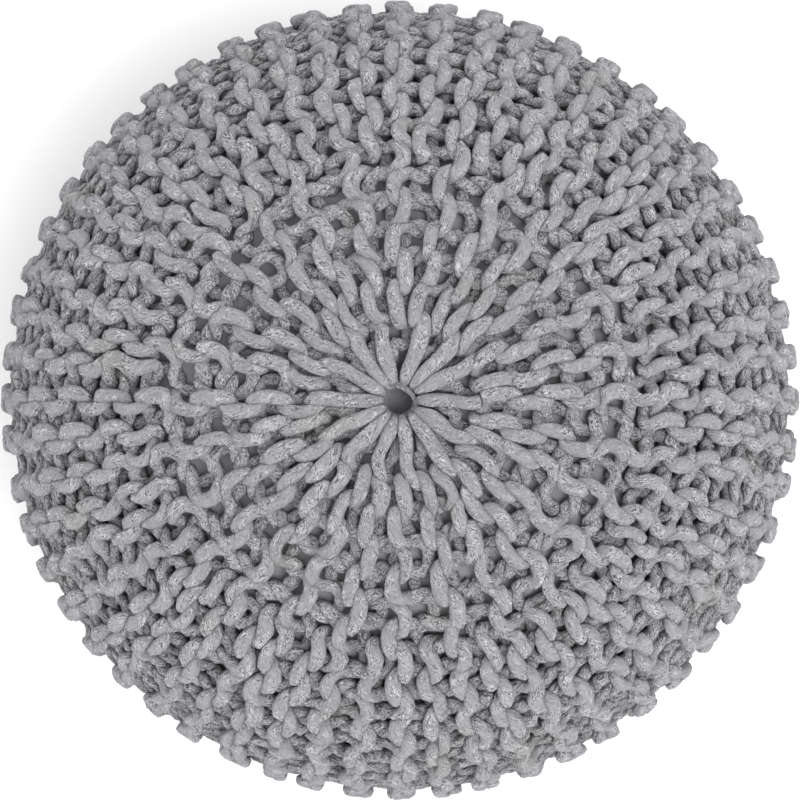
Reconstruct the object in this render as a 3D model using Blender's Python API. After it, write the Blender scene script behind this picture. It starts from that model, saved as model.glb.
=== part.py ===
"""Knitted pouf: a chunky garter-stitch cover, gathered at both ends, over a filled inner casing.

The cover is knitted sideways, so its ridges run from the top gathering to the bottom one.
Short rows widen it: 14 ridges leave each gathering, 28 reach the shoulder and 56 go round the
side. Metres, +Z up, origin at the middle of the underside.
"""
import math
from collections import namedtuple

import bmesh
import bpy

# Overall form.
DIAMETER = 0.500
HEIGHT = 0.350
FULLNESS = 2.3                  # exponent of the side's superellipse: 2 is an ellipse, more is boxier
WAIST_HEIGHT = 0.165            # height of the widest ring before the pouf is stretched to HEIGHT
CROWN_RISE = 0.185              # from the widest ring up to the crown, and down to the unpressed bottom

# Underside, pressed flat by the weight.
PRESSED_BY = 0.0025             # how far the ridge crests are flattened on the floor
PRESS_BLEND = 0.006             # height over which the side rolls into the flat

# Gathered ends.
GATHER_DEPTH = 0.009            # how far the drawn-in ends sink
GATHER_REACH = 0.040            # how far from the middle the sinking fades out
LIP_RADIUS = 0.018              # where the cover starts to roll into the hole

# Cover.
COVER_THICKNESS = 0.018         # two thicknesses of yarn
GROOVE_DEPTH = 0.007            # from the ridge crests down to the grooves between them
LIP_GROOVE_DEPTH = 0.0025       # the same on the rolled lips of the holes
LIP_STEPS = 3                   # facets across a rolled lip
COLUMNS_PER_RIDGE = 4

# Bands of the cover from the top hole down to its side, with the rows of facets in each.
# The underside mirrors them.
Band = namedtuple("Band", "ridges outer_radius rows")
BANDS = (
    Band(ridges=14, outer_radius=0.050, rows=3),
    Band(ridges=28, outer_radius=0.150, rows=4),
)
SIDE_RIDGES = 56
SIDE_ROWS_ABOVE = 5             # above the widest ring
SIDE_ROWS_BELOW = 4

# Casing.
INNER_ROWS = 12
CASING_GAP = 0.0003             # clear space between the cover and the casing

MERIDIAN_STEPS = 2400           # fine steps along the crest line, used only to measure along it

YARN_COLOUR = (0.40, 0.395, 0.42, 1.0)
CASING_COLOUR = (0.20, 0.20, 0.215, 1.0)


def start_empty():
    """Remove whatever the file holds, so that only this model is in it."""
    for item in list(bpy.data.objects):
        bpy.data.objects.remove(item, do_unlink=True)


def pressed(z):
    """Height after the underside is pressed flat, rolling in smoothly over PRESS_BLEND."""
    above = z + PRESSED_BY
    if above >= PRESS_BLEND:
        return z
    if above <= -PRESS_BLEND:
        return -PRESSED_BY
    return (above + PRESS_BLEND) ** 2 / (4.0 * PRESS_BLEND) - PRESSED_BY


def crest_line():
    """Radius and height along the ridge crests, from the top axis to the bottom axis."""
    radius = DIAMETER / 2.0
    power = 2.0 / FULLNESS
    line = []
    for step in range(MERIDIAN_STEPS + 1):
        angle = math.pi * step / MERIDIAN_STEPS
        across = radius * math.sin(angle) ** power
        upward = math.cos(angle)
        z = WAIST_HEIGHT + CROWN_RISE * math.copysign(abs(upward) ** power, upward)
        z = pressed(z)
        sink = GATHER_DEPTH * math.exp(-(across / GATHER_REACH) ** 2)
        z += sink if upward < 0.0 else -sink
        line.append((across, z))
    stretch = HEIGHT / max(z for _, z in line)
    return [(across, z * stretch) for across, z in line]


class Meridian:
    """The crest line, measured along its length."""

    def __init__(self):
        self.line = crest_line()
        self.lengths = [0.0]
        for (r0, z0), (r1, z1) in zip(self.line, self.line[1:]):
            self.lengths.append(self.lengths[-1] + math.hypot(r1 - r0, z1 - z0))
        self.widest = max(range(len(self.line)), key=lambda i: self.line[i][0])

    def where_radius(self, radius, below):
        """Length along the line where it has this radius, on the upper or the lower half."""
        count = len(self.line)
        steps = range(count - 1, self.widest, -1) if below else range(self.widest)
        for i in steps:
            if self.line[i][0] >= radius:
                return self.lengths[i]
        raise ValueError("the crest line never reaches this radius")

    def at(self, length):
        """Point and outward normal, each as (radial, up), at a length along the line."""
        low = 0
        high = len(self.lengths) - 1
        while high - low > 1:
            middle = (low + high) // 2
            if self.lengths[middle] <= length:
                low = middle
            else:
                high = middle
        (r0, z0), (r1, z1) = self.line[low], self.line[high]
        span = self.lengths[high] - self.lengths[low]
        share = (length - self.lengths[low]) / span
        point = (r0 + (r1 - r0) * share, z0 + (z1 - z0) * share)
        normal = (-(z1 - z0) / span, (r1 - r0) / span)
        return point, normal


def moved(point, direction, distance):
    """A (radial, up) point moved along a direction."""
    return (point[0] + direction[0] * distance, point[1] + direction[1] * distance)


def groove_share(ridges, column, columns):
    """How deep a column lies in its groove: 0 on a crest, 1 at the bottom of the groove."""
    wave = (1.0 - math.cos(2.0 * math.pi * ridges * column / columns)) / 2.0
    return wave ** 2


def add_ring(bm, columns, place):
    """One ring of vertices; place(column) gives the (radial, up) point of a column."""
    ring = []
    for column in range(columns):
        angle = 2.0 * math.pi * column / columns
        radial, up = place(column)
        ring.append(bm.verts.new((radial * math.cos(angle), radial * math.sin(angle), up)))
    return ring


def ridged_ring(bm, point, normal, ridges, depth):
    """A ring on the outside of the cover, sunk between its ridges and flat on the floor."""
    columns = ridges * COLUMNS_PER_RIDGE

    def place(column):
        sunk = moved(point, normal, -depth * groove_share(ridges, column, columns))
        return (sunk[0], max(sunk[1], 0.0))

    return add_ring(bm, columns, place)


def plain_ring(bm, point, columns):
    """A round ring with no ridges."""
    return add_ring(bm, columns, lambda column: point)


def join_rings(bm, upper, lower):
    """Fill between two rings; one may have a whole number of times the other's columns."""
    flipped = len(upper) > len(lower)
    few, many = (lower, upper) if flipped else (upper, lower)
    ratio = len(many) // len(few)
    for i, corner in enumerate(few):
        next_corner = few[(i + 1) % len(few)]
        fan = [many[(i * ratio + j) % len(many)] for j in range(ratio + 1)]
        if ratio == 1:
            faces = [(corner, fan[0], fan[1], next_corner)]
        else:
            half = ratio // 2
            faces = [(corner, fan[j], fan[j + 1]) for j in range(half)]
            faces.append((corner, fan[half], next_corner))
            faces += [(next_corner, fan[j], fan[j + 1]) for j in range(half, ratio)]
        for face in faces:
            bm.faces.new(reversed(face) if flipped else face)


def close_ring(bm, ring, point, facing_up):
    """Fill a ring to one vertex on the axis."""
    tip = bm.verts.new((0.0, 0.0, point[1]))
    for i, corner in enumerate(ring):
        next_corner = ring[(i + 1) % len(ring)]
        bm.faces.new((tip, corner, next_corner) if facing_up else (tip, next_corner, corner))


def evenly(start, end, rows):
    """Lengths that split a stretch into rows, without its end."""
    return [start + (end - start) * row / rows for row in range(rows)]


def outer_stations(meridian):
    """Length along the crest line and number of ridges of each ring, top hole to bottom hole."""
    upper = []
    lower = []
    radius = LIP_RADIUS
    for band in BANDS:
        for lengths, below in ((upper, False), (lower, True)):
            start = meridian.where_radius(radius, below)
            end = meridian.where_radius(band.outer_radius, below)
            lengths += [(length, band.ridges) for length in evenly(start, end, band.rows)]
        radius = band.outer_radius
    widest = meridian.lengths[meridian.widest]
    above = meridian.where_radius(radius, below=False)
    below = meridian.where_radius(radius, below=True)
    side = evenly(above, widest, SIDE_ROWS_ABOVE) + evenly(widest, below, SIDE_ROWS_BELOW) + [below]
    return upper + [(length, SIDE_RIDGES) for length in side] + lower[::-1]


def inner_stations(meridian):
    """Lengths along the crest line of the rings that face the casing, top to bottom."""
    start = meridian.where_radius(LIP_RADIUS, below=False)
    end = meridian.where_radius(LIP_RADIUS, below=True)
    return evenly(start, end, INNER_ROWS) + [end]


def lip_rings(bm, point, normal, below):
    """The rounded edge of a hole, from the outside of the cover to the side on the casing."""
    middle = moved(point, normal, -COVER_THICKNESS / 2.0)
    towards_axis = (normal[1], -normal[0]) if below else (-normal[1], normal[0])
    rings = []
    for step in range(1, LIP_STEPS):
        turn = math.pi * step / LIP_STEPS
        out = moved(middle, normal, math.cos(turn) * COVER_THICKNESS / 2.0)
        edge = moved(out, towards_axis, math.sin(turn) * COVER_THICKNESS / 2.0)
        depth = LIP_GROOVE_DEPTH * math.sin(turn)
        rings.append(ridged_ring(bm, edge, towards_axis, BANDS[0].ridges, depth))
    return rings


def make_material(name, colour, roughness):
    """A plain cloth material."""
    material = bpy.data.materials.new(name)
    material.use_nodes = True
    shader = material.node_tree.nodes["Principled BSDF"]
    shader.inputs["Base Color"].default_value = colour
    shader.inputs["Roughness"].default_value = roughness
    shader.inputs["Metallic"].default_value = 0.0
    material.diffuse_color = colour
    return material


def make_object(name, bm, material):
    """A smooth-shaded object from a closed bmesh."""
    mesh = bpy.data.meshes.new(name)
    bm.to_mesh(mesh)
    bm.free()
    mesh.materials.append(material)
    mesh.shade_smooth()
    item = bpy.data.objects.new(name, mesh)
    bpy.context.scene.collection.objects.link(item)
    return item


def make_cover(meridian):
    """The knitted cover: a thick shell with ridges outside and a rolled hole at each end."""
    bm = bmesh.new()
    outside = []
    for length, ridges in outer_stations(meridian):
        point, normal = meridian.at(length)
        outside.append(ridged_ring(bm, point, normal, ridges, GROOVE_DEPTH))

    inner_columns = BANDS[0].ridges * COLUMNS_PER_RIDGE
    inside = []
    for length in inner_stations(meridian):
        point, normal = meridian.at(length)
        inside.append(plain_ring(bm, moved(point, normal, -COVER_THICKNESS), inner_columns))

    top_point, top_normal = meridian.at(inner_stations(meridian)[0])
    bottom_point, bottom_normal = meridian.at(inner_stations(meridian)[-1])
    top_lip = lip_rings(bm, top_point, top_normal, below=False)
    bottom_lip = lip_rings(bm, bottom_point, bottom_normal, below=True)

    loop = outside + bottom_lip + inside[::-1] + top_lip[::-1]
    for ring, next_ring in zip(loop, loop[1:] + loop[:1]):
        join_rings(bm, ring, next_ring)
    return make_object("knitted_cover", bm, make_material("grey_cotton_yarn", YARN_COLOUR, 0.9))


def make_casing(meridian):
    """The filled casing: one solid that fills the cover and closes under both holes."""
    bm = bmesh.new()
    columns = BANDS[0].ridges * COLUMNS_PER_RIDGE
    depth = COVER_THICKNESS + CASING_GAP
    points = []
    for length in inner_stations(meridian):
        point, normal = meridian.at(length)
        points.append(moved(point, normal, -depth))
    rings = [plain_ring(bm, point, columns) for point in points]
    for ring, next_ring in zip(rings, rings[1:]):
        join_rings(bm, ring, next_ring)
    close_ring(bm, rings[0], points[0], facing_up=True)
    close_ring(bm, rings[-1], points[-1], facing_up=False)
    return make_object("inner_casing", bm, make_material("grey_casing_cloth", CASING_COLOUR, 0.85))


def main():
    """Build the pouf under one empty."""
    start_empty()
    meridian = Meridian()
    pouf = bpy.data.objects.new("knitted_pouf", None)
    bpy.context.scene.collection.objects.link(pouf)
    for piece in (make_cover(meridian), make_casing(meridian)):
        piece.parent = pouf


main()
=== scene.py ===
"""Looks of the knitted pouf: its cover as real interlocked yarn, its casing, floor, light, camera.

The cover is garter stitch, knitted sideways. A quarter of its purl ridges run from the top
gathering to the bottom one; the others start and end further out. Each ridge is made of two
courses, whose bars lie over the ridge by turns, left and right, and whose bights dip under the
valleys beside it. A ridge's two courses are one closed strand of yarn. The strands are laid out
on the cover's crest surface, pushed apart where they touch, and skinned as tubes that flatten
against each other. Metres, +Z up.
"""
import math

import bpy
import numpy as np
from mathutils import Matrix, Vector, noise


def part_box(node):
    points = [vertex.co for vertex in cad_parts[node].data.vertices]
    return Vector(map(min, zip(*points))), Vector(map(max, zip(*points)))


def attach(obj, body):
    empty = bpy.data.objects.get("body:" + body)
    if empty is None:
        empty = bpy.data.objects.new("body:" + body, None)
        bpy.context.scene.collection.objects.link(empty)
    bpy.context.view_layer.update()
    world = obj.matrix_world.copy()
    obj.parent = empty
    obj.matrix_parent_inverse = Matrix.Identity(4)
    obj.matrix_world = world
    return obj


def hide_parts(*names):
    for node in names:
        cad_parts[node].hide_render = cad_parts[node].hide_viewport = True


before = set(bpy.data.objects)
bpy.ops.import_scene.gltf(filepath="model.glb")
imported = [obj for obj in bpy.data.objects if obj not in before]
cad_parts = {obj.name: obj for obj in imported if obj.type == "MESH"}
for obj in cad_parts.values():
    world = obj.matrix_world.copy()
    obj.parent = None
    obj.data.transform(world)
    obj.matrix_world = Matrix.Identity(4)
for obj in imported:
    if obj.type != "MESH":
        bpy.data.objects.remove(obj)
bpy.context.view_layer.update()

# The cover's crest surface, as the CAD solid has it.
COVER_LOW, COVER_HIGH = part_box("knitted_cover")
DIAMETER = COVER_HIGH[0] - COVER_LOW[0]
HEIGHT = COVER_HIGH[2]
FULLNESS = 2.3                  # exponent of the side's superellipse
WAIST_HEIGHT = 0.165            # of the widest ring, before the pouf is stretched to HEIGHT
CROWN_RISE = 0.185              # from the widest ring up to the crown, and down to the bottom
PRESSED_BY = 0.0025             # how far the underside is flattened
PRESS_BLEND = 0.006             # height over which the flat passes into the round
GATHER_DEPTH = 0.009            # how far the drawn-in ends sink
GATHER_REACH = 0.040            # and how far out this reaches
COVER_THICKNESS = 0.018         # about two thicknesses of yarn

# Knitting. Lengths along a ridge are counted in stitches from the top: bars of the left course
# lie at whole numbers, those of the right course half way between.
RIDGES = 56
STITCHES = 20                   # along a full ridge, gathering to gathering
FULL_RIDGE, HALF_RIDGE, SHORT_RIDGE = 0, 1, 4   # stitch at which each kind of ridge starts
RIDGE_KINDS = (FULL_RIDGE, SHORT_RIDGE, HALF_RIDGE, SHORT_RIDGE)
# Near the gathering the stitches are drawn together: distance from the axis, along the crest
# line, of the first quarter stitches.
DRAWN_STITCHES = (-0.25, 0.0, 0.25, 0.5, 0.75, 1.0, 1.25)
DRAWN_LENGTHS = (0.0040, 0.0205, 0.0350, 0.0415, 0.0485, 0.0580, 0.0672)
CROWN_STITCH = 0.037            # length of a stitch on the crown, stretched over the filling
CROWN_STITCHES = 2.3            # how many such stitches follow the first one
STITCH_CHANGE = 0.4             # stitches over which the length changes to the side's
# The crown's stitches are stretched over the filling and the side's are slack. Between these two
# distances from the axis, along the crest line, the one passes into the other.
CROWN_END, SIDE_START = 0.105, 0.190
# Pairs hold the value on the crown and the one on the side.
BAR_REACH = np.array([0.0034, 0.0036])    # of bars past the ridge's line
BIGHT_REACH = np.array([0.0062, 0.0054])  # of bights past the valley's middle
BAR_LIMIT, BIGHT_LIMIT = 0.42, 0.70       # of both, as shares of the way to the valley's middle
SQUARENESS = np.array([0.95, 0.88])       # of a bar's ends: 0 slants evenly, 1 turns off sharply
WAVE_DEPTH = 0.0050             # of the yarn's centre above and below the middle of the cover
# Depth of a course through half a stitch, from the middle of a bar to the middle of a bight.
WAVE_ANGLES = np.array([0.0, 20.0, 44.0, 66.0, 90.0, 114.0, 136.0, 160.0, 180.0])
CROWN_WAVE = np.array([1.0, 1.0, 0.87, -0.05, -0.7, -0.6, -0.7, -0.95, -1.0])
SIDE_WAVE = np.array([1.0, 0.99, 0.86, 0.00, -0.60, -0.50, -0.6, -0.95, -1.0])
POINTS_PER_STITCH = 24          # along a course, when it is laid out
# Widths become angles round the axis when they are divided by the distance from it, but by no
# less than this: for a ridge's wander, and for the reach and the shift of its stitches.
LEAST_WANDER_RADIUS, LEAST_STITCH_RADIUS = 0.020, 0.012

# Turns of the yarn at the ends of a full ridge (lip) and of a shorter one (curl). Keys hold the
# distance from the axis (lip) or from the ridge's end in side stitches (curl), the share of the
# way to the next ridge that exists there, and the depth. Cuts are how far from the ridge's end
# its left and its right course stop, in stitches.
LIP_KEYS = ((0.0330, -0.47, 0.0115), (0.0280, -0.46, 0.0100), (0.0240, -0.32, 0.0112),
            (0.0200, -0.12, 0.0136), (0.0148, 0.00, 0.0138), (0.0110, 0.00, 0.0118),
            (0.0094, 0.00, 0.0088), (0.0106, 0.00, 0.0058), (0.0145, 0.01, 0.0042),
            (0.0195, 0.01, 0.0040), (0.0250, 0.00, 0.0040), (0.0310, -0.04, 0.0040),
            (0.0370, -0.10, 0.0041))
LIP_CUTS = (0.38, 0.54)         # short of the end
CURL_KEYS = ((-0.36, -0.04, 0.0068), (-0.43, 0.02, 0.0105), (-0.40, 0.16, 0.0130),
             (-0.33, 0.30, 0.0140))
CURL_CUTS = (0.17, 0.20)        # past the end

# Unevenness of hand knitting, as standard deviations.
SEED = 11
RIDGE_WANDER = 0.0018
WANDER_KEYS = np.linspace(0.0, STITCHES, 12)      # stitches at which a ridge's wander is drawn
STITCH_SHIFT = np.array([0.0015, 0.0011, 0.0006])   # along, across, in depth
SHIFT_KEYS = np.arange(-0.5, STITCHES + 1.0, 0.5)   # stitches at which the shift is drawn
STITCH_SWELL = 0.08             # of the yarn's thickness
SWELL_LIMIT = 0.15              # and the most of it

# Yarn.
YARN_RADIUS = 0.0044            # on the crown, where the yarn is under tension
SIDE_SWELL = 0.04               # how much thicker it lies on the side
LEG_THINNING = 0.06             # how much thinner it is stretched where it dips below the bars
LEG_DEPTHS = np.array([0.005, 0.011])       # where that begins and is full
LIP_SQUEEZE = 1.12              # most that a yarn may fill of its share round the hole
YARN_HEIGHT = 0.80              # of its width: the cover's tension presses it flatter
YARN_SQUARENESS = 3.4           # of its section: 2 is an ellipse, more is boxy
LUMPINESS = 0.095               # of its skin, as a share of the radius
SKIN_STEP = 0.0038              # between the rings of the skin
SKIN_SIDES = 12
SKIN_GAP = 0.00015              # left between yarns that flatten each other
FLATTEN_ROUNDS = 3
FLATTEN_REACH = 1.15            # sums of two radii, between yarns that may flatten each other
TWIST_LENGTH = 0.075            # along the yarn for one turn of its fibres
DEEPEST_YARN = np.array([0.0200, 0.0152])   # depth that counts as the bottom, for rubbed tops and painted shade: crown and side
SECTORS = 7                     # pieces that the cover is split into
# The map of the yarn's skin for baking has the yarn unrolled in rows.
MAP_ROW_HEIGHT = 1.25           # in turns round the yarn
MAP_MARGIN, MAP_FILLED = 0.08, 0.84     # shares of a row: below the skin, and covered by it
MAP_ROW_SPARE = 1.001           # how much longer than needed a row is

# Settling of the yarns against each other.
STEP = 0.0045                   # between the points that settle
SETTLE_ROUNDS = 16
ROUNDS_PER_SEARCH = 8           # between searches for yarns that may touch
REACH = 0.0125                  # between the middles of yarns that may touch
SAME_YARN = 2.1                 # radii along one strand within which it can't touch itself
SOFTNESS = 0.60                 # share of two radii below which touching yarns push apart
PUSH = 1.3                      # of what would just part them, in each round
HOLD = 0.2                      # pull towards the laid-out place
TENSION = 0.1                   # pull towards the neighbouring points
CREST_ROOM, CASING_ROOM = 0.95, 0.9     # radii that the yarn's middle keeps from either face
LIP_REACH = 0.022               # distance from the axis within which the yarn may leave the cover

# The yarn that draws each end of the cover together: twice round, with a knot in view.
GATHER_RADIUS = 0.0096          # from the axis
GATHER_YARN = 0.0021            # its radius
GATHER_LEVEL = 0.0126           # its depth under the crest surface
GATHER_APART = (0.0009, 0.0014)     # how far its two rounds swing, outwards and in depth
GATHER_POINTS = 32
KNOT_TURN = math.radians(50.0)
KNOT_WIDTH = 0.45               # sine of half its reach round the hole
KNOT_SIZE = (0.0022, 0.0012, 0.0030)    # inwards, how this differs by round, and upwards

# The casing.
CASING_GAP = 0.0004             # between the knit and the casing
CASING_ROWS, CASING_COLUMNS = 180, 240
ROWS_TO_POLES = 0.8             # 0 spaces the rows evenly, 1 draws them together at the poles
CREASE_SIZE = 0.03              # across the creases in the casing
CREASE_DEPTH = 0.0022
CREASE_SHARPNESS = 0.7          # less is sharper
PUCKER_DEPTH = 0.015            # how deep the casing's cloth is drawn in at its two ends
PUCKER_REACH = 0.011            # and how far out this reaches
PLEATS = 11                     # folds round each pucker
PLEAT_DEPTH = 0.0008

rng = np.random.default_rng(SEED)


# ---------------------------------------------------------------------------- crest surface

class Crest:
    """The line over the ridge crests, from the top axis to the bottom one, by its length.
    It is traced with a number of samples, and kept at a number of even steps."""

    def __init__(self, samples=6001, steps=1413):
        angle = np.linspace(0.0, math.pi, samples)
        power = 2.0 / FULLNESS
        radial = DIAMETER / 2.0 * np.sin(angle).clip(0.0) ** power
        upward = np.cos(angle)
        z = WAIST_HEIGHT + CROWN_RISE * np.sign(upward) * np.abs(upward) ** power
        above = z + PRESSED_BY
        rolled = (above + PRESS_BLEND) ** 2 / (4.0 * PRESS_BLEND) - PRESSED_BY
        z = np.where(above >= PRESS_BLEND, z, np.where(above <= -PRESS_BLEND, -PRESSED_BY, rolled))
        sink = GATHER_DEPTH * np.exp(-(radial / GATHER_REACH) ** 2)
        z += np.where(upward < 0.0, sink, -sink)
        z *= HEIGHT / z.max()
        along = np.concatenate([[0.0], np.cumsum(np.hypot(np.diff(radial), np.diff(z)))])
        self.total = along[-1]
        self.length = np.linspace(0.0, self.total, steps)
        self.radial = np.interp(self.length, along, radial)
        self.z = np.interp(self.length, along, z)
        out, up = np.gradient(self.radial, self.length), np.gradient(self.z, self.length)
        size = np.hypot(out, up)
        self.tangent = out / size, up / size

    def at(self, length):
        """Radial place, height, and the tangent and outward normal as (radial, up)."""
        radial = np.interp(length, self.length, self.radial)
        z = np.interp(length, self.length, self.z)
        out = np.interp(length, self.length, self.tangent[0])
        up = np.interp(length, self.length, self.tangent[1])
        return radial, z, (out, up), (-up, out)

    def place(self, length, turn, depth):
        """Points at a length, an angle round the axis and a depth under the crest surface."""
        radial, z, _, normal = self.at(length)
        radial = radial - depth * normal[0]
        z = z - depth * normal[1]
        return np.stack([radial * np.cos(turn), radial * np.sin(turn), z], -1)

    def middle_radius(self, length):
        """Distance from the axis at half the cover's thickness."""
        radial, _, _, normal = self.at(length)
        return radial - COVER_THICKNESS / 2.0 * normal[0]

    def depth(self, points, length):
        """How far points lie under the crest surface at their nearest lengths."""
        radial, z, _, (out, up) = self.at(length)
        return (radial - np.hypot(points[:, 0], points[:, 1])) * out + (z - points[:, 2]) * up

    def normals(self, points):
        """Outward normal of the crest surface above each point."""
        _, _, _, (out, up) = self.at(self.nearest(points))
        radial = np.hypot(points[:, 0], points[:, 1])
        return np.stack([out * points[:, 0] / radial, out * points[:, 1] / radial, up], -1)

    def nearest(self, points, skip=4, batch=4000):
        """Length along the line nearest to each point, of every few of its steps. Points are
        taken in batches, to save memory."""
        radial = np.hypot(points[:, 0], points[:, 1])
        coarse = slice(None, None, skip)
        found = np.empty(len(points))
        for part in np.array_split(np.arange(len(points)), 1 + len(points) // batch):
            away = ((radial[part, None] - self.radial[None, coarse]) ** 2
                    + (points[part, 2][:, None] - self.z[None, coarse]) ** 2)
            found[part] = self.length[coarse][away.argmin(1)]
        return found


crest = Crest()


def stretched(count):
    """How many of the stitches after the first one are stretched ones, blended smoothly."""
    rise = np.log1p(np.exp((count - CROWN_STITCHES) / STITCH_CHANGE))
    return count - STITCH_CHANGE * (rise - math.log1p(math.exp(-CROWN_STITCHES / STITCH_CHANGE)))


# The side's stitches share what the crown's leave of the half line.
HALF_COUNT = STITCHES / 2 - 1
SIDE_STITCH = ((crest.total / 2 - DRAWN_LENGTHS[-2] - CROWN_STITCH * stretched(HALF_COUNT))
               / (HALF_COUNT - stretched(HALF_COUNT)))


def eased(value, keys, heights):
    """The heights at the keys, with values between the keys eased in and out."""
    i = np.clip(np.searchsorted(keys, value, side="right") - 1, 0, len(keys) - 2)
    share = ((value - keys[i]) / (keys[i + 1] - keys[i])).clip(0.0, 1.0)
    share = share * share * (3.0 - 2.0 * share)
    return heights[i] + (heights[i + 1] - heights[i]) * share


def slackness(length):
    """0 on the stretched crown and underside, 1 on the slack side."""
    from_end = np.minimum(length, crest.total - length)
    return eased(from_end, np.array([CROWN_END, SIDE_START]), np.array([0.0, 1.0]))


def blended(pair, slack):
    """Between a crown value and a side value."""
    return pair[0] + (pair[1] - pair[0]) * slack


def length_at(stitch):
    """Length along the crest line of a stitch number; the underside mirrors the top."""
    stitch = np.asarray(stitch, float)

    def from_end(count):
        drawn = np.interp(count, DRAWN_STITCHES, DRAWN_LENGTHS)
        crown = stretched(count - 1.0)
        even = DRAWN_LENGTHS[-2] + CROWN_STITCH * crown + SIDE_STITCH * (count - 1.0 - crown)
        return np.where(count < DRAWN_STITCHES[-1], np.minimum(drawn, even), even)

    return np.where(stitch <= STITCHES / 2, from_end(stitch),
                    crest.total - from_end(STITCHES - stitch))


# ---------------------------------------------------------------------------- laying out

WANDER = rng.normal(0.0, RIDGE_WANDER, (RIDGES, len(WANDER_KEYS)))
SHIFTS = rng.normal(0.0, 1.0, (RIDGES, 2, len(SHIFT_KEYS), 3)) * STITCH_SHIFT


def start_of(ridge):
    """Stitch at which a ridge starts; it ends as far from the bottom."""
    return RIDGE_KINDS[ridge % len(RIDGE_KINDS)]


def turn_of(ridge, stitch):
    """Angle round the axis of a ridge's middle line."""
    stitch = np.asarray(stitch, float)
    radius = np.maximum(crest.middle_radius(length_at(stitch)), LEAST_WANDER_RADIUS)
    wander = eased(stitch, WANDER_KEYS, WANDER[ridge % RIDGES])
    return 2.0 * math.pi * ridge / RIDGES + wander / radius


def neighbour(ridge, stitch, side):
    """The next ridge on a side that exists at this stitch, counted on past the last one."""
    other = ridge + side
    while not start_of(other) <= stitch <= STITCHES - start_of(other):
        other += side
    return other


def course(ridge, side, stitch):
    """Length, turn and depth along a course; side is -1 for the left course, +1 for the right."""
    phase = stitch if side < 0 else stitch - 0.5
    bight = np.floor(stitch) + 0.5 if side < 0 else np.round(stitch)
    slack = slackness(length_at(stitch))
    square = blended(SQUARENESS, slack)
    length = length_at(stitch + square * np.sin(4.0 * math.pi * stitch) / (2.0 * math.pi))
    radius = np.maximum(crest.middle_radius(length), LEAST_STITCH_RADIUS)
    ridge_turn = turn_of(ridge, stitch)
    valley_turn = np.empty_like(stitch)
    for at in np.unique(bight):
        here = bight == at
        other = turn_of(neighbour(ridge, at, side), stitch[here])
        valley_turn[here] = (ridge_turn[here] + other) / 2.0
    half_valley = np.abs(valley_turn - ridge_turn) * radius
    over = np.minimum(blended(BAR_REACH, slack), BAR_LIMIT * half_valley)
    under = np.minimum(blended(BIGHT_REACH, slack), BIGHT_LIMIT * half_valley)
    on_ridge = (1.0 + np.cos(2.0 * math.pi * phase)) / 2.0
    turn = (on_ridge * (ridge_turn - side * over / radius)
            + (1.0 - on_ridge) * (valley_turn + side * under / radius))
    angle = np.degrees(np.abs((phase + 0.5) % 1.0 - 0.5) * 2.0 * math.pi)
    wave = blended((eased(angle, WAVE_ANGLES, CROWN_WAVE),
                    eased(angle, WAVE_ANGLES, SIDE_WAVE)), slack)
    depth = COVER_THICKNESS / 2.0 - WAVE_DEPTH * wave
    shift = shifts_at(ridge, side, stitch)
    return np.stack([length + shift[:, 0], turn + shift[:, 1] / radius, depth + shift[:, 2]], -1)


def shifts_at(ridge, side, stitch):
    """The uneven places of a course's stitches: along, across and in depth."""
    table = SHIFTS[ridge % RIDGES, (side + 1) // 2]
    return np.stack([eased(stitch, SHIFT_KEYS, table[:, i]) for i in range(3)], -1)


def lip_turn(ridge, at_top):
    """A full ridge's yarn at a gathering: in beneath the bars, round the lip of the hole and out
    again as the long straight edge bar."""
    spacing = 2.0 * math.pi * len(RIDGE_KINDS) / RIDGES
    middle = turn_of(ridge, 0.0 if at_top else STITCHES)
    return [(away if at_top else crest.total - away, middle + share * spacing, depth)
            for away, share, depth in LIP_KEYS]


def short_turn(ridge, at_top):
    """The curl where a shorter ridge starts: from its first bar down and round to its first
    bight. The ridge's other end mirrors it."""
    stitch = float(start_of(ridge) if at_top else STITCHES - start_of(ridge))
    end = float(length_at(stitch))
    inward = SIDE_STITCH if at_top else -SIDE_STITCH
    middle = turn_of(ridge, stitch)
    spacing = turn_of(neighbour(ridge, stitch, 1), stitch) - middle
    return [(end + along * inward, middle + share * spacing, depth)
            for along, share, depth in CURL_KEYS]


def lay_strand(ridge):
    """The closed strand of a ridge: its left course upwards, a turn, its right course downwards
    and a turn back."""
    start = start_of(ridge)
    fine = 1.0 / POINTS_PER_STITCH
    if start == FULL_RIDGE:
        (left_cut, right_cut), turn = LIP_CUTS, lip_turn
        upward = np.arange(STITCHES - left_cut, left_cut, -fine)
        downward = np.arange(right_cut, STITCHES - right_cut, fine)
    else:
        (left_cut, right_cut), turn = CURL_CUTS, short_turn
        upward = np.arange(STITCHES - start + left_cut, start - left_cut, -fine)
        downward = np.arange(start - right_cut, STITCHES - start + right_cut, fine)
    path = np.concatenate([course(ridge, -1, upward), turn(ridge, True),
                           course(ridge, 1, downward), turn(ridge, False)[::-1]])
    return crest.place(path[:, 0], path[:, 1], path[:, 2])


def lay_gathering(at_top):
    """The yarn that draws a hole together, under its lip."""
    way = 2.0 * math.pi * np.arange(GATHER_POINTS) / GATHER_POINTS
    turn = 2.0 * way + KNOT_TURN
    knot = np.exp(-(np.sin(way) / KNOT_WIDTH) ** 2)
    inwards, swing, upwards = KNOT_SIZE
    away = (GATHER_RADIUS + GATHER_APART[0] * np.cos(way)
            - (inwards + swing * np.cos(way)) * knot)
    depth = GATHER_LEVEL - GATHER_APART[1] * np.cos(way) - upwards * knot
    return crest.place(away if at_top else crest.total - away, turn, depth)


# ---------------------------------------------------------------------------- strands

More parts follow.
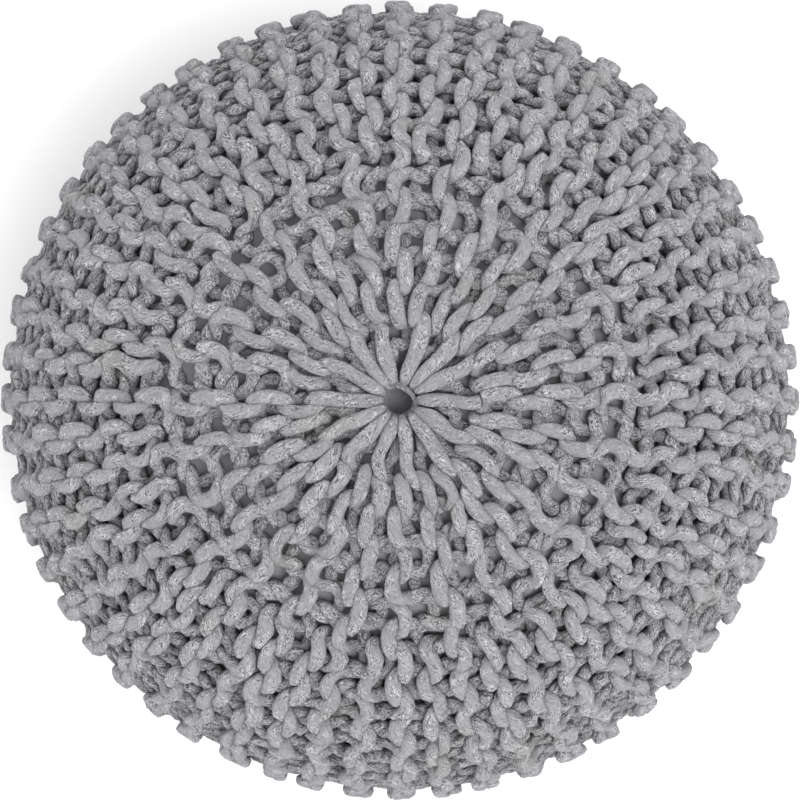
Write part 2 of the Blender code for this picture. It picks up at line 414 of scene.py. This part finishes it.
def smooth_loop(points, parts=4):
    """A closed curve through points, with this many parts between each two."""
    start, end = points, np.roll(points, -1, 0)
    leaving = (end - np.roll(points, 1, 0))[:, None] / 2.0
    arriving = (np.roll(points, -2, 0) - start)[:, None] / 2.0
    t = (np.arange(parts) / parts)[None, :, None]
    curve = ((2 * t**3 - 3 * t**2 + 1) * start[:, None] + (t**3 - 2 * t**2 + t) * leaving
             + (3 * t**2 - 2 * t**3) * end[:, None] + (t**3 - t**2) * arriving)
    return curve.reshape(-1, points.shape[1])


def even_loop(points, step):
    """A closed line of points made even, a step apart; columns past the third are carried."""
    closed = np.vstack([points, points[:1]])
    steps = np.linalg.norm(np.diff(closed[:, :3], axis=0), axis=1)
    along = np.concatenate([[0.0], np.cumsum(steps)])
    count = int(round(along[-1] / step))
    wanted = np.arange(count) * along[-1] / count
    return np.stack([np.interp(wanted, along, closed[:, i]) for i in range(closed.shape[1])], -1)


class Strands:
    """Closed strands end to end in one array of points, with a radius for each point."""

    def __init__(self, loops):
        rows = np.concatenate(loops)
        self.points, self.radius = rows[:, :3].copy(), rows[:, 3].copy()
        self.sizes = np.array([len(loop) for loop in loops])
        self.first = np.concatenate([[0], np.cumsum(self.sizes)[:-1]])
        self.strand = np.repeat(np.arange(len(loops)), self.sizes)
        self.place = np.arange(len(rows)) - self.first[self.strand]
        size = self.sizes[self.strand]
        self.next = self.first[self.strand] + (self.place + 1) % size
        self.previous = self.first[self.strand] + (self.place - 1) % size

    def loops(self):
        """Each strand's points and radii as one array."""
        rows = np.column_stack([self.points, self.radius])
        return np.split(rows, self.first[1:])

    def close_pairs(self, reach):
        """Pairs of points closer than reach that aren't near each other along one strand."""
        one, other = near_pairs(self.points, reach)
        apart = np.abs(self.place[one] - self.place[other])
        apart = np.minimum(apart, self.sizes[self.strand[one]] - apart)
        step = np.linalg.norm(self.points[self.next] - self.points, axis=1).mean()
        skipped = math.ceil(SAME_YARN * self.radius.max() / step)
        kept = (self.strand[one] != self.strand[other]) | (apart > skipped)
        return one[kept], other[kept]


def near_pairs(points, reach):
    """Pairs of points closer than reach, found through a grid of cells of that size."""
    cell = np.floor((points - points.min(0) + reach) / reach).astype(np.int64)
    across = cell.max(0) + 3
    key = (cell[:, 0] * across[1] + cell[:, 1]) * across[2] + cell[:, 2]
    order = np.argsort(key, kind="stable")
    ordered = key[order]
    ones, others = [], []
    steps = [(x, y, z) for x in (0, 1) for y in (-1, 0, 1) for z in (-1, 0, 1)
             if (x, y, z) >= (0, 0, 0)]
    for x, y, z in steps:
        wanted = key + (x * across[1] + y) * across[2] + z
        low = np.searchsorted(ordered, wanted, "left")
        count = np.searchsorted(ordered, wanted, "right") - low
        one = np.repeat(np.arange(len(points)), count)
        run = np.arange(count.sum()) - np.repeat(np.cumsum(count) - count, count)
        other = order[np.repeat(low, count) + run]
        kept = ((points[one] - points[other]) ** 2).sum(1) < reach * reach
        if (x, y, z) == (0, 0, 0):
            kept &= other > one
        ones.append(one[kept])
        others.append(other[kept])
    return np.concatenate(ones), np.concatenate(others)


def thickness(points):
    """Radius of the yarn along a strand: uneven, and squeezed where it is drawn together."""
    along = np.arange(len(points)) * STEP
    total = len(points) * STEP
    count = max(3, int(total / SIDE_STITCH))
    swell = rng.normal(0.0, STITCH_SWELL, count).clip(-SWELL_LIMIT, SWELL_LIMIT)
    radius = YARN_RADIUS * (1.0 + eased(along, np.linspace(0.0, total, count + 1),
                                        np.append(swell, swell[0])))
    length = crest.nearest(points)
    radius *= 1.0 + SIDE_SWELL * slackness(length)
    radius *= 1.0 - LEG_THINNING * eased(crest.depth(points, length), LEG_DEPTHS,
                                         np.array([0.0, 1.0]))
    room = math.pi * np.hypot(points[:, 0], points[:, 1]) / (RIDGES / len(RIDGE_KINDS))
    return np.minimum(radius, LIP_SQUEEZE * room)


def settle(strands):
    """Pushes touching yarns apart, while tension and the laid-out places hold them."""
    points, radius = strands.points, strands.radius
    laid = points.copy()
    length = crest.nearest(points)
    count = len(points)
    for number in range(SETTLE_ROUNDS):
        if number % ROUNDS_PER_SEARCH == 0:
            one, other = strands.close_pairs(REACH)
            room = (radius[one] + radius[other]) * SOFTNESS
        between = points[one] - points[other]
        gap = np.sqrt((between ** 2).sum(1)) + 1e-9
        tight = gap < room
        a, b = one[tight], other[tight]
        push = between[tight] * ((room - gap)[tight] / gap[tight] / 2.0)[:, None]
        touches = np.bincount(a, minlength=count) + np.bincount(b, minlength=count)
        for axis in range(3):
            moved = (np.bincount(a, push[:, axis], count) - np.bincount(b, push[:, axis], count))
            points[:, axis] += PUSH * moved / np.maximum(touches, 1)
        points += TENSION * ((points[strands.next] + points[strands.previous]) / 2.0 - points)
        points += HOLD * (laid - points)
        length = keep_in_cover(points, radius, length)


def keep_in_cover(points, radius, length):
    """Moves points along the surface normal into the cover's thickness, except round the holes;
    returns their lengths along the crest line."""
    radial = np.hypot(points[:, 0], points[:, 1])
    cosine, sine = points[:, 0] / radial, points[:, 1] / radial
    for _ in range(2):
        surface, z, tangent, _ = crest.at(length)
        length = np.clip(length + (radial - surface) * tangent[0] + (points[:, 2] - z) * tangent[1],
                         0.0, crest.total)
    surface, z, _, normal = crest.at(length)
    depth = (surface - radial) * normal[0] + (z - points[:, 2]) * normal[1]
    wanted = np.clip(depth, CREST_ROOM * radius, COVER_THICKNESS - CASING_ROOM * radius)
    move = np.where(surface > LIP_REACH, depth - wanted, 0.0)
    points[:, 0] += move * normal[0] * cosine
    points[:, 1] += move * normal[0] * sine
    points[:, 2] += move * normal[1]
    return length


# ---------------------------------------------------------------------------- skin

def side_vectors(strands):
    """Tangent and two side vectors at each point that turn as little as possible on the way
    round, with the turn left at the end spread over the strand."""
    points, first, sizes = strands.points, strands.first, strands.sizes
    tangent = points[strands.next] - points[strands.previous]
    tangent /= np.linalg.norm(tangent, axis=1)[:, None]
    side = np.zeros_like(points)
    outward = points[first] * (1.0, 1.0, 0.0)
    start = np.cross(tangent[first], outward)
    side[first] = start / np.linalg.norm(start, axis=1)[:, None]
    left_over = np.zeros(len(sizes))
    for step in range(1, sizes.max() + 1):
        live = sizes >= step
        here = first[live] + step - 1
        there = strands.next[here]
        turned = carried(side[here], tangent[here], tangent[there], points[there] - points[here])
        closing = step == sizes[live]
        side[there[~closing]] = turned[~closing]
        if closing.any():
            begun = side[there[closing]]
            upright = np.cross(tangent[there[closing]], begun)
            left_over[np.nonzero(live)[0][closing]] = np.arctan2(
                (turned[closing] * upright).sum(1), (turned[closing] * begun).sum(1))
    back = -(left_over / sizes)[strands.strand] * strands.place
    up = np.cross(tangent, side)
    side = side * np.cos(back)[:, None] + up * np.sin(back)[:, None]
    return side, np.cross(tangent, side)


def carried(side, tangent, next_tangent, step):
    """A side vector carried to the next point by two reflections."""
    square = (step ** 2).sum(1)[:, None]
    side = side - 2.0 / square * (step * side).sum(1)[:, None] * step
    mirrored = tangent - 2.0 / square * (step * tangent).sum(1)[:, None] * step
    bend = next_tangent - mirrored
    square = (bend ** 2).sum(1)[:, None] + 1e-18
    side = side - 2.0 / square * (bend * side).sum(1)[:, None] * bend
    side = side - (side * next_tangent).sum(1)[:, None] * next_tangent
    return side / (np.linalg.norm(side, axis=1)[:, None] + 1e-12)


def skinned(strands):
    """Rings of surface points round each strand, as one array (points, sides, 3). Their section
    is squarish and flatter across the cover than along it."""
    side, up = side_vectors(strands)
    angle = 2.0 * math.pi * np.arange(SKIN_SIDES) / SKIN_SIDES
    circle = (np.cos(angle)[None, :, None] * side[:, None]
              + np.sin(angle)[None, :, None] * up[:, None])
    normal = crest.normals(strands.points)[:, None]
    upright = (circle * normal).sum(-1)
    level = np.sqrt((1.0 - upright ** 2).clip(0.0))
    section = ((np.abs(upright) ** YARN_SQUARENESS + level ** YARN_SQUARENESS)
               ** (-1.0 / YARN_SQUARENESS))
    circle -= (1.0 - YARN_HEIGHT) * upright[..., None] * normal
    reach = strands.radius[:, None] * section * lumps(strands)
    return strands.points[:, None] + reach[..., None] * circle


def lumps(strands):
    """How far each skin point stands off the yarn's middle, 1 on average."""
    uneven = rng.normal(0.0, 1.0, (len(strands.points), SKIN_SIDES))
    for _ in range(2):
        uneven = (uneven[strands.next] + 2.0 * uneven + uneven[strands.previous]) / 4.0
        uneven = (np.roll(uneven, 1, 1) + 2.0 * uneven + np.roll(uneven, -1, 1)) / 4.0
    return 1.0 + LUMPINESS * uneven / uneven.std()


def flattened(rings, strands):
    """The rings with their points pushed off neighbouring yarns, so that contacts are flat."""
    one, other = strands.close_pairs(REACH)
    here, there = np.concatenate([one, other]), np.concatenate([other, one])
    points, radius = strands.points, strands.radius
    near = (np.linalg.norm(points[here] - points[there], axis=1)
            < FLATTEN_REACH * (radius[here] + radius[there]))
    here, there = here[near], there[near]
    begin = points[there]
    span = points[strands.next[there]] - begin
    square = (span ** 2).sum(1)
    share = radius[there] / (radius[here] + radius[there])
    for _ in range(FLATTEN_ROUNDS):
        depth = np.zeros(rings.shape[:2])
        direction = np.zeros_like(rings)
        for k in range(rings.shape[1]):
            skin = rings[here, k]
            t = (((skin - begin) * span).sum(1) / square).clip(0.0, 1.0)
            axis = begin + span * t[:, None]
            normal = points[here] - axis
            distance = np.linalg.norm(normal, axis=1)
            normal /= distance[:, None]
            out = ((skin - axis) * normal).sum(1)
            inside = SKIN_GAP / 2.0 + distance * share - out
            aside = np.linalg.norm(skin - axis - out[:, None] * normal, axis=1)
            hit = np.nonzero((inside > 0.0) & (aside < radius[there]))[0]
            hit = hit[np.argsort(inside[hit], kind="stable")]
            depth[here[hit], k] = inside[hit]
            direction[here[hit], k] = normal[hit]
        rings = rings + depth[..., None] * direction
    return rings


# ---------------------------------------------------------------------------- pieces

def new_object(name, mesh):
    """An object in the scene for a mesh, smooth shaded."""
    mesh.shade_smooth()
    item = bpy.data.objects.new(name, mesh)
    bpy.context.scene.collection.objects.link(item)
    return item


def quad_mesh(name, points, quads):
    """A mesh of quads from arrays."""
    mesh = bpy.data.meshes.new(name)
    mesh.vertices.add(len(points))
    mesh.vertices.foreach_set("co", points.astype(np.float32).ravel())
    mesh.loops.add(quads.size)
    mesh.loops.foreach_set("vertex_index", quads.astype(np.int32).ravel())
    mesh.polygons.add(len(quads))
    mesh.polygons.foreach_set("loop_start", np.arange(0, quads.size, 4, dtype=np.int32))
    mesh.update(calc_edges=True)
    return mesh


def add_unrolled_map(mesh, along, sides):
    """A UV map with the yarn unrolled in rows: along it one way, round it the other.
    along holds each ring's distance from the start of the piece's yarn."""
    row_height = 2.0 * math.pi * YARN_RADIUS * MAP_ROW_HEIGHT
    rows = math.ceil(math.sqrt(along[-1] / row_height))
    row_length = along[-1] / rows * MAP_ROW_SPARE + SKIN_STEP
    row = np.floor(along / (row_length - SKIN_STEP))
    begin = (along - row * (row_length - SKIN_STEP)) / row_length
    end = begin + SKIN_STEP / row_length
    k = np.arange(sides)
    low = (row[:, None] + MAP_MARGIN + MAP_FILLED * k / sides) / rows
    high = low + MAP_FILLED / sides / rows
    left, right = np.repeat(begin[:, None], sides, 1), np.repeat(end[:, None], sides, 1)
    uv = np.stack([np.stack([left, low], -1), np.stack([left, high], -1),
                   np.stack([right, high], -1), np.stack([right, low], -1)], 2)
    layer = mesh.uv_layers.new(name="OFBake")
    layer.uv.foreach_set("vector", uv.astype(np.float32).ravel())


def make_sector(number, strands, rings, lying, material):
    """One piece of the cover: the yarn of neighbouring ridges. Each skin point carries its place
    in the unbent yarn, for the fibres, and how deep it lies in the cover (0 crest, 1 bottom)."""
    ridges = RIDGES // SECTORS
    begin = strands.first[number * ridges]
    end = strands.first[(number + 1) * ridges] if number + 1 < SECTORS else len(strands.points)
    base = (np.arange(begin, end) - begin)[:, None] * SKIN_SIDES
    ahead = (strands.next[begin:end] - begin)[:, None] * SKIN_SIDES
    k = np.arange(SKIN_SIDES)[None]
    after = (k + 1) % SKIN_SIDES
    quads = np.stack([base + k, base + after, ahead + after, ahead + k], -1).reshape(-1, 4)
    mesh = quad_mesh(f"knit_{number + 1}", rings[begin:end].reshape(-1, 3), quads)

    along = np.arange(end - begin) * SKIN_STEP
    add_unrolled_map(mesh, along, SKIN_SIDES)
    turn = 2.0 * math.pi * (k / SKIN_SIDES + along[:, None] / TWIST_LENGTH)
    fibre = np.stack([YARN_RADIUS * np.cos(turn), YARN_RADIUS * np.sin(turn),
                      np.repeat(along[:, None], SKIN_SIDES, 1)], -1)
    layer = mesh.attributes.new("fibre", "FLOAT_VECTOR", "POINT")
    layer.data.foreach_set("vector", fibre.astype(np.float32).ravel())
    layer = mesh.attributes.new("lying", "FLOAT", "POINT")
    layer.data.foreach_set("value", lying[begin:end].astype(np.float32).ravel())
    mesh.materials.append(material)
    piece = new_object(f"knit_{number + 1}", mesh)
    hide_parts("knitted_cover")
    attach(piece, "root")


def make_casing(material):
    """The filled inner casing, close under the knitting: shallow creases, and a pleated pucker
    at both ends where its cloth is drawn together."""
    rows, columns = CASING_ROWS, CASING_COLUMNS
    share = np.linspace(0.0, 1.0, rows)[1:-1]
    lengths = crest.total * (share - ROWS_TO_POLES * np.sin(2.0 * math.pi * share)
                             / (2.0 * math.pi))
    turns = 2.0 * math.pi * np.arange(columns) / columns
    length, turn = (grid.ravel() for grid in np.meshgrid(lengths, turns, indexing="ij"))
    middle = crest.place(length, turn, COVER_THICKNESS)
    crease = np.array([noise.noise(Vector(point) / CREASE_SIZE) for point in middle])
    pucker = np.exp(-(np.minimum(length, crest.total - length) / PUCKER_REACH) ** 2)
    # Pleats are deepest half way down into the pucker, where 4 p (1 - p) is 1.
    pleat = PLEAT_DEPTH * 4.0 * pucker * (1.0 - pucker) * (1.0 + np.cos(PLEATS * turn))
    under = COVER_THICKNESS + CASING_GAP
    points = crest.place(length, turn, under + PUCKER_DEPTH * pucker + pleat
                         + CREASE_DEPTH * np.abs(crease) ** CREASE_SHARPNESS)
    poles = crest.place(np.array([0.0, crest.total]), np.zeros(2), under + PUCKER_DEPTH)
    points = np.concatenate([points, poles])
    i = np.arange(rows - 3)[:, None] * columns
    j = np.arange(columns)
    after = (j + 1) % columns
    quads = np.stack([i + j, i + columns + j, i + columns + after, i + after], -1).reshape(-1, 4)
    last = (rows - 3) * columns
    top, bottom = len(points) - 2, len(points) - 1
    fans = [(top, here, there) for here, there in zip(j, after)]
    fans += [(bottom, last + there, last + here) for here, there in zip(j, after)]
    mesh = bpy.data.meshes.new("casing")
    mesh.from_pydata(points.tolist(), [], quads.tolist() + [tuple(map(int, fan)) for fan in fans])
    mesh.materials.append(material)
    piece = new_object("casing", mesh)
    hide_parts("inner_casing")
    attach(piece, "root")


# ---------------------------------------------------------------------------- materials

WHITE, BLACK = (1.0, 1.0, 1.0), (0.0, 0.0, 0.0)

# Noises of the yarn: scale across and along it, detail and distortion.
PLIES = (380.0, 120.0, 2.0, 0.0)
CURLS = (860.0, 380.0, 3.0, 2.0)
# Noise that places painted shadows under hairs.
PAINTED_HAIR_SHADOWS = (340.0, 190.0, 1.0, 1.8)
# Noise that places painted glints on hairs.
PAINTED_GLINTS = (620.0, 300.0, 1.0, 1.4)
FIBRE_ROUGHNESS = 0.62          # of these noises
WORN_SCALE, STAIN_SCALE = 140.0, 22.0   # of the noises that place rubbed spots and smudges

# Relief of the yarn.
RELIEF = 0.0032                 # height of the bump for a noise of 1
CURL_RELIEF = 1.3               # of the curled fibres, against that of the plies

# Ramps of the yarn: stops of a noise, or of how deep the yarn lies, with their linear colours.
# Curled fibres: the darkest stop is painted shade in pits, the palest is painted glints.
CURL_SHADE_AND_GLINT_STOPS = ((0.41, (0.110, 0.109, 0.124)), (0.45, (0.690, 0.682, 0.738)),
              (0.58, (0.740, 0.731, 0.790)), (0.65, (0.98, 0.97, 1.0)))
# Near-black strokes: painted shadows under hairs.
PAINTED_HAIR_SHADOW_STOPS = ((0.445, WHITE), (0.480, (0.02, 0.02, 0.03)),
                   (0.520, (0.02, 0.02, 0.03)), (0.555, WHITE))
# Pale strokes added on: painted glints on hairs.
PAINTED_GLINT_STOPS = ((0.560, BLACK), (0.590, (0.22, 0.22, 0.22)),
                   (0.600, (0.22, 0.22, 0.22)), (0.630, BLACK))
RUBBED_COLOUR_STOPS = ((0.34, (0.360, 0.357, 0.392)), (0.66, (0.450, 0.446, 0.488)))
RUBBED_TOP_STOPS = ((0.22, (0.85, 0.85, 0.85)), (0.55, BLACK))      # how much, by depth
RUBBED_SPOT_STOPS = ((0.40, (0.25, 0.25, 0.25)), (0.56, (0.95, 0.95, 0.95)))    # how much, by place
STAIN_STOPS = ((0.64, WHITE), (0.72, (1.0, 0.985, 0.91)))
# Painted shade: the deeper the yarn lies, the darker it is.
PAINTED_DEPTH_SHADE_STOPS = ((0.45, WHITE), (0.85, (0.12, 0.12, 0.13)))

# The casing's cloth.
CLOTH_WAVE = 1500.0             # radians a metre of its weave, so its ribs are 4.2 mm apart
WAVE_NODE_RATE = 20.0           # radians that the wave texture runs for each unit of its scale
SECOND_RIBS = (0.0, math.radians(40.0), math.radians(90.0))     # their turn against the first
FADED_SCALE = 45.0              # of the noise that places faded patches
CLOTH_STOPS = ((0.30, (0.23, 0.23, 0.242)), (0.70, (0.38, 0.38, 0.40)))


def node(tree, kind, **sockets):
    """A shader node with some of its sockets set; names use _ for spaces."""
    made = tree.nodes.new(kind)
    for name, value in sockets.items():
        made.inputs[name.replace("_", " ")].default_value = value
    return made


def new_material(name):
    """A node material, its shader and the call that links its sockets."""
    material = bpy.data.materials.new(name)
    material.use_nodes = True
    tree = material.node_tree
    return material, tree.nodes["Principled BSDF"], tree.links.new


def ramped(tree, value, *stops):
    """A colour ramp over a value; each stop is a position and a colour."""
    ramp = tree.nodes.new("ShaderNodeValToRGB")
    elements = ramp.color_ramp.elements
    while len(elements) < len(stops):
        elements.new(1.0)
    for element, (position, colour) in zip(elements, stops):
        element.position = position
        element.color = (*colour, 1.0)
    tree.links.new(value, ramp.inputs["Fac"])
    return ramp.outputs["Color"]


def attribute(tree, name):
    """A node that reads a mesh attribute."""
    made = tree.nodes.new("ShaderNodeAttribute")
    made.attribute_name = name
    return made


def mixed(tree, kind, factor, one, other):
    """One colour mixed with another, by a factor or fully where it is None."""
    mix = tree.nodes.new("ShaderNodeMix")
    mix.data_type, mix.blend_type = "RGBA", kind
    if factor is None:
        mix.inputs["Factor"].default_value = 1.0
    else:
        tree.links.new(factor, mix.inputs["Factor"])
    colour_a, colour_b, result = mix.inputs[6], mix.inputs[7], mix.outputs[2]
    tree.links.new(one, colour_a)
    tree.links.new(other, colour_b)
    return result


def fibre_noise(tree, fibre, across, along, detail, distortion):
    """A noise drawn out along the yarn, over the place in the unbent yarn."""
    mapping = node(tree, "ShaderNodeMapping", Scale=(across, across, along))
    texture = node(tree, "ShaderNodeTexNoise", Scale=1.0, Detail=detail,
                   Roughness=FIBRE_ROUGHNESS, Distortion=distortion)
    tree.links.new(fibre, mapping.inputs["Vector"])
    tree.links.new(mapping.outputs["Vector"], texture.inputs["Vector"])
    return texture.outputs["Fac"]


def place_noise(tree, place, scale, detail):
    """A noise over the place in space."""
    texture = node(tree, "ShaderNodeTexNoise", Scale=scale, Detail=detail)
    tree.links.new(place, texture.inputs["Vector"])
    return texture.outputs["Fac"]


def bumped(tree, height, **strength):
    """The normal that a height gives; strength holds the bump's Strength and Distance."""
    bump = node(tree, "ShaderNodeBump", **strength)
    tree.links.new(height, bump.inputs["Height"])
    return bump.outputs["Normal"]


def yarn_relief(tree, plies, curls):
    """The yarn's normal, from its plies and its curled fibres."""
    height = node(tree, "ShaderNodeMath")
    height.operation = "MULTIPLY_ADD"
    tree.links.new(curls, height.inputs[0])
    height.inputs[1].default_value = CURL_RELIEF
    tree.links.new(plies, height.inputs[2])
    return bumped(tree, height.outputs[0], Strength=1.0, Distance=RELIEF)


def yarn_colour(tree, plies, curls, painted_hair_shadows, painted_glints):
    """The yarn's colour: curled fibres with painted shade in their pits and painted glints, crossed
    by painted shadows under hairs and painted glints on hairs. The tops of the stitches are rubbed
    smoother in spots, yarn that lies deep is darkened as painted shade, and there are a few faint
    warm smudges."""
    place = tree.nodes.new("ShaderNodeNewGeometry").outputs["Position"]
    lying = attribute(tree, "lying").outputs["Fac"]
    # Painted shadows under hairs darken the fibres' colour, which holds painted pits and glints.
    fibres = mixed(tree, "MULTIPLY", None, ramped(tree, curls, *CURL_SHADE_AND_GLINT_STOPS),
                   ramped(tree, painted_hair_shadows, *PAINTED_HAIR_SHADOW_STOPS))
    # Painted glints are added on.
    fibres = mixed(tree, "ADD", None, fibres, ramped(tree, painted_glints, *PAINTED_GLINT_STOPS))
    worn = place_noise(tree, place, WORN_SCALE, 2.0)
    rubbed = mixed(tree, "MULTIPLY", None, ramped(tree, lying, *RUBBED_TOP_STOPS),
                   ramped(tree, worn, *RUBBED_SPOT_STOPS))
    colour = mixed(tree, "MIX", rubbed, fibres, ramped(tree, plies, *RUBBED_COLOUR_STOPS))
    # Painted shade: yarn that lies deep is darkened.
    colour = mixed(tree, "MULTIPLY", None, colour, ramped(tree, lying, *PAINTED_DEPTH_SHADE_STOPS))
    stains = place_noise(tree, place, STAIN_SCALE, 1.0)
    return mixed(tree, "MULTIPLY", None, colour, ramped(tree, stains, *STAIN_STOPS))


def yarn_material():
    """Soft spun yarn with a little sheen: short curled fibres over a slow twist."""
    material, shader, link = new_material("spun_yarn")
    tree = material.node_tree
    shader.inputs["Roughness"].default_value = 0.85
    shader.inputs["Sheen Weight"].default_value = 0.25
    shader.inputs["Sheen Roughness"].default_value = 0.45
    fibre = attribute(tree, "fibre").outputs["Vector"]
    plies, curls, painted_hair_shadows, painted_glints = (fibre_noise(tree, fibre, *kind) for kind in
                                            (PLIES, CURLS, PAINTED_HAIR_SHADOWS, PAINTED_GLINTS))
    link(yarn_relief(tree, plies, curls), shader.inputs["Normal"])
    link(yarn_colour(tree, plies, curls, painted_hair_shadows, painted_glints), shader.inputs["Base Color"])
    return material


def casing_material():
    """Plain woven casing cloth: two crossed sets of ribs, a little uneven and faded."""
    material, shader, link = new_material("casing_cloth")
    tree = material.node_tree
    shader.inputs["Roughness"].default_value = 0.8
    place = tree.nodes.new("ShaderNodeNewGeometry").outputs["Position"]

    def ribs(direction):
        mapping = node(tree, "ShaderNodeMapping", Rotation=direction)
        wave = node(tree, "ShaderNodeTexWave", Scale=CLOTH_WAVE / WAVE_NODE_RATE, Distortion=1.5,
                    Detail=1.0)
        link(place, mapping.inputs["Vector"])
        link(mapping.outputs["Vector"], wave.inputs["Vector"])
        return wave.outputs["Fac"]

    weave = tree.nodes.new("ShaderNodeMath")
    weave.operation = "MAXIMUM"
    link(ribs((0.0, 0.0, 0.0)), weave.inputs[0])
    link(ribs(SECOND_RIBS), weave.inputs[1])
    link(bumped(tree, weave.outputs[0], Strength=0.6, Distance=0.0003), shader.inputs["Normal"])
    faded = place_noise(tree, place, FADED_SCALE, 3.0)
    link(ramped(tree, faded, *CLOTH_STOPS), shader.inputs["Base Color"])
    return material


def floor_material():
    """Plain pale studio floor."""
    material, shader, _ = new_material("studio_floor")
    shader.inputs["Base Color"].default_value = FLOOR_COLOUR
    shader.inputs["Roughness"].default_value = 0.9
    return material


# ---------------------------------------------------------------------------- studio

CAMERA_HEIGHT = 2.6
FRAME_WIDTH = 0.503             # what the picture's width covers at WAIST_HEIGHT
SKY_STRENGTH = 1.2
SUN_STRENGTH = 1.75
SUN_ANGLE = math.radians(35.0)
SUN_FROM = (0.34, -0.26, 1.0)
FLOOR_HALF = 3.0
FLOOR_DROP = 0.0006             # below the pouf's lowest crests
FLOOR_COLOUR = (0.93, 0.93, 0.93, 1.0)


def make_floor():
    """A wide plane just under the pouf."""
    corners = FLOOR_HALF * np.array([(-1, -1, 0), (1, -1, 0), (1, 1, 0), (-1, 1, 0)])
    mesh = quad_mesh("floor", corners - (0.0, 0.0, FLOOR_DROP), np.arange(4)[None])
    mesh.materials.append(floor_material())
    floor = new_object("floor", mesh)


def make_sun():
    """A broad soft light from above, a little from the lower right of the picture."""
    light = bpy.data.lights.new("sun", "SUN")
    light.energy, light.angle = SUN_STRENGTH, SUN_ANGLE
    item = bpy.data.objects.new("sun", light)
    item.rotation_euler = Vector(SUN_FROM).to_track_quat("Z", "Y").to_euler()
    bpy.context.scene.collection.objects.link(item)


def make_studio():
    """Floor, sky, sun and the camera straight above."""
    scene = bpy.context.scene
    make_floor()
    world = bpy.data.worlds.new("studio")
    world.use_nodes = True
    world.node_tree.nodes["Background"].inputs["Color"].default_value = (1.0, 1.0, 1.0, 1.0)
    world.node_tree.nodes["Background"].inputs["Strength"].default_value = SKY_STRENGTH
    scene.world = world
    scene.view_settings.view_transform = "Standard"
    make_sun()
    camera = bpy.data.cameras.new("camera")
    camera.sensor_width = 36.0
    camera.lens = camera.sensor_width * (CAMERA_HEIGHT - WAIST_HEIGHT) / FRAME_WIDTH
    item = bpy.data.objects.new("camera", camera)
    item.location = (0.0, 0.0, CAMERA_HEIGHT)
    scene.collection.objects.link(item)
    scene.camera = item


# ---------------------------------------------------------------------------- main

def make_cover():
    """All the yarn of the cover, in sectors; the two gathering yarns are in the last one."""
    loops = []
    for ridge in range(RIDGES):
        points = even_loop(smooth_loop(lay_strand(ridge)), STEP)
        loops.append(np.column_stack([points, thickness(points)]))
    for at_top in (True, False):
        points = even_loop(smooth_loop(lay_gathering(at_top)), STEP / 2.0)
        loops.append(np.column_stack([points, np.full(len(points), GATHER_YARN)]))
    strands = Strands(loops)
    settle(strands)
    fine = Strands([even_loop(smooth_loop(loop), SKIN_STEP) for loop in strands.loops()])
    rings = flattened(skinned(fine), fine)
    rings[..., 2] = rings[..., 2].clip(0.0)
    length = np.repeat(crest.nearest(fine.points), SKIN_SIDES)
    depth = crest.depth(rings.reshape(-1, 3), length).reshape(rings.shape[:2])
    deepest = blended(DEEPEST_YARN, slackness(length)).reshape(-1, SKIN_SIDES)
    lying = (depth / deepest).clip(0.0, 1.0)
    material = yarn_material()
    for number in range(SECTORS):
        make_sector(number, fine, rings, lying, material)


make_cover()
make_casing(casing_material())
make_studio()

bpy.context.view_layer.update()
